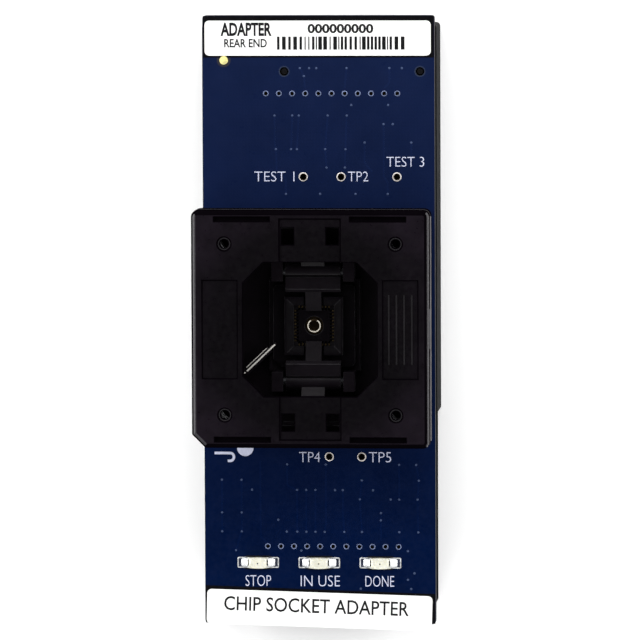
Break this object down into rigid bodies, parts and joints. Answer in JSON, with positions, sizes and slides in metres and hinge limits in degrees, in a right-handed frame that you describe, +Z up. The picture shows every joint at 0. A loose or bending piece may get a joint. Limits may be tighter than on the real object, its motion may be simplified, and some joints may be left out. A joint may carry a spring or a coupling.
{
  "type": "ic programming adapter",
  "caption": "Narrow board on a black carrier with an open-top spring socket, status lamps and labels; pressing the square cover swings latches open so a leadless chip drops into its nest.",
  "frame": {"origin": "on the carrier's bottom face, under the middle of the socket", "axes": "+Z up out of the board, +Y along the board toward the end with the two dark locating holes, +X to the right seen from above"},
  "size_m": [0.0358, 0.0938, 0.0276],
  "materials": {
    "carrier_plastic": "moulded black plastic, fine matt grain",
    "steel": "plain bright steel",
    "tin": "tin-plated and soldered metal",
    "gold": "gold-plated contact metal",
    "board": "dark navy solder mask over glass-fibre laminate",
    "strip_plastic": "moulded black plastic",
    "lamp_white": "white moulded lamp body",
    "lamp_lens": "pale yellow milky resin",
    "label_paper": "white paper label, satin",
    "chip_black": "black moulded resin",
    "ceramic_tan": "tan fired ceramic",
    "nest_plastic": "black high-temperature plastic",
    "socket_plastic": "black glass-filled plastic",
    "cover_plastic": "black glass-filled plastic, satin",
    "latch_plastic": "black glass-filled plastic",
    "pointer_white": "white printed strip"
  },
  "bodies": {
    "module": {"carrier_frame": "carrier_plastic", "carrier_screws": "steel", "standoff_nuts": "tin", "main_board": "board", "header_barrels": "tin", "test_point_barrels": "tin", "fiducial_pad": "gold", "strip_rear": "strip_plastic", "strip_front": "strip_plastic", "strip_contacts_rear": "gold", "strip_contacts_front": "gold", "lamp_bodies": "lamp_white", "lamp_lenses": "lamp_lens", "lamp_terminals": "tin", "rear_label": "label_paper", "front_label": "label_paper", "memory_chip": "chip_black", "memory_leads": "tin", "capacitor_bodies": "ceramic_tan", "capacitor_ends": "tin", "resistor_bodies": "chip_black", "resistor_ends": "tin", "tail_guide": "nest_plastic", "socket_base": "socket_plastic", "base_fixings": "steel", "contact_pins": "gold", "nest_plate": "nest_plastic", "ground_barrel": "gold", "ground_spring": "steel", "cover_springs": "steel", "latch_shaft_rear": "steel", "latch_shaft_front": "steel", "latch_spring_rear": "steel", "latch_spring_front": "steel", "contact_pointer": "pointer_white"},
    "cover": {"socket_cover": "cover_plastic"},
    "rear_latch": {"latch_rear": "latch_plastic"},
    "front_latch": {"latch_front": "latch_plastic"},
    "plunger": {"ground_plunger": "gold"}
  },
  "joints": [
    {"name": "cover_press", "type": "slide", "parent": "module", "child": "cover", "axis": [0, 0, 1], "range_m": [-0.003, 0], "stiffness_N_per_m": 500, "springref_m": 0.002, "deforming": ["cover_springs"]},
    {"name": "rear_latch_swing", "type": "hinge", "parent": "module", "child": "rear_latch", "pos_m": [0, 0.0084, 0.0208], "axis": [1, 0, 0], "range_deg": [-56, 0], "deforming": ["latch_spring_rear"]},
    {"name": "front_latch_swing", "type": "hinge", "parent": "module", "child": "front_latch", "pos_m": [0, -0.0084, 0.0208], "axis": [-1, 0, 0], "range_deg": [-56, 0], "deforming": ["latch_spring_front"]},
    {"name": "ground_press", "type": "slide", "parent": "module", "child": "plunger", "axis": [0, 0, 1], "range_m": [-0.0006, 0], "stiffness_N_per_m": 60, "springref_m": 0.0008, "deforming": ["ground_spring"]}
  ],
  "couplings": [
    {"joint": "rear_latch_swing", "follows": "cover_press", "rad_per_m": 319.98},
    {"joint": "front_latch_swing", "follows": "cover_press", "rad_per_m": 319.98}
  ]
}
